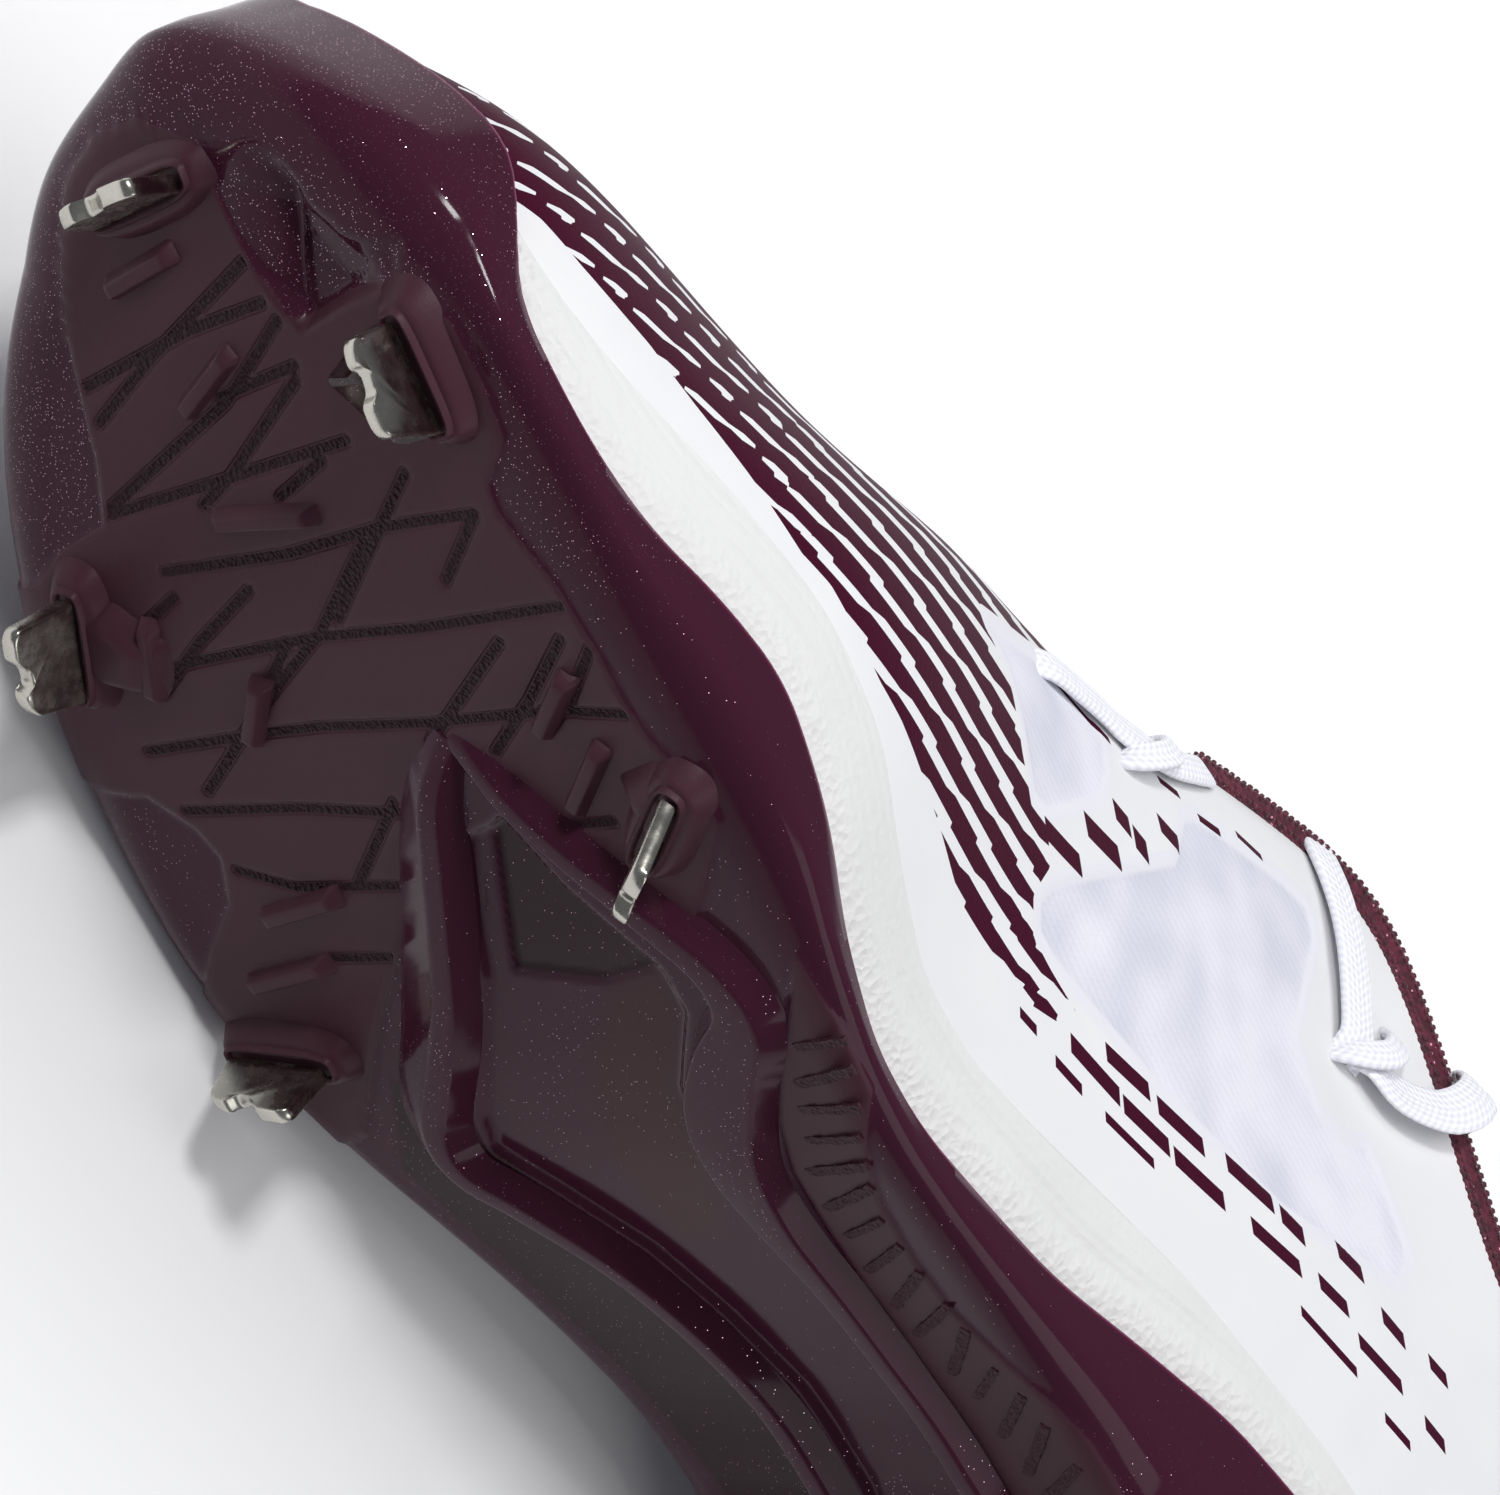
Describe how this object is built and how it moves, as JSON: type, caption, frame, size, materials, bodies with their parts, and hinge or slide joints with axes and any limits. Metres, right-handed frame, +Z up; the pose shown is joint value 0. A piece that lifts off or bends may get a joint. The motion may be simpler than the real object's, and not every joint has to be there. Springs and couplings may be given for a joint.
{
  "type": "baseball cleat",
  "caption": "Low baseball cleat with a glossy moulded plate, steel spikes, shank rails, white foam midsole, film-printed upper, sock-like collar and flat laces.",
  "frame": {"origin": "centre of the bounding box's bottom face, on the floor that the shoe lies on", "axes": "+X along the shoe towards the toe, +Y the way the sole faces, +Z up towards the shoe's outer side"},
  "size_m": [0.2874, 0.1265, 0.1027],
  "materials": {
    "outsole": "glossy moulded maroon plate",
    "midsole": "white moulded foam",
    "insole": "grey knit sockliner",
    "upper": "white film over fine mesh with maroon print",
    "lining": "maroon knit with a fine sparkle",
    "laces": "flat woven white lace",
    "spikes": "pressed steel, slightly worn"
  },
  "bodies": {
    "root": {"outsole": "outsole", "midsole": "midsole", "insole": "insole", "upper": "upper", "collar": "lining", "tongue": "lining", "laces": "laces", "spike_toe": "spikes", "spike_front_inner": "spikes", "spike_rear_inner": "spikes", "spike_front_outer": "spikes", "spike_rear_outer": "spikes", "spike_heel_inner": "spikes", "spike_heel_outer": "spikes", "spike_heel_rear": "spikes"}
  },
  "joints": []
}
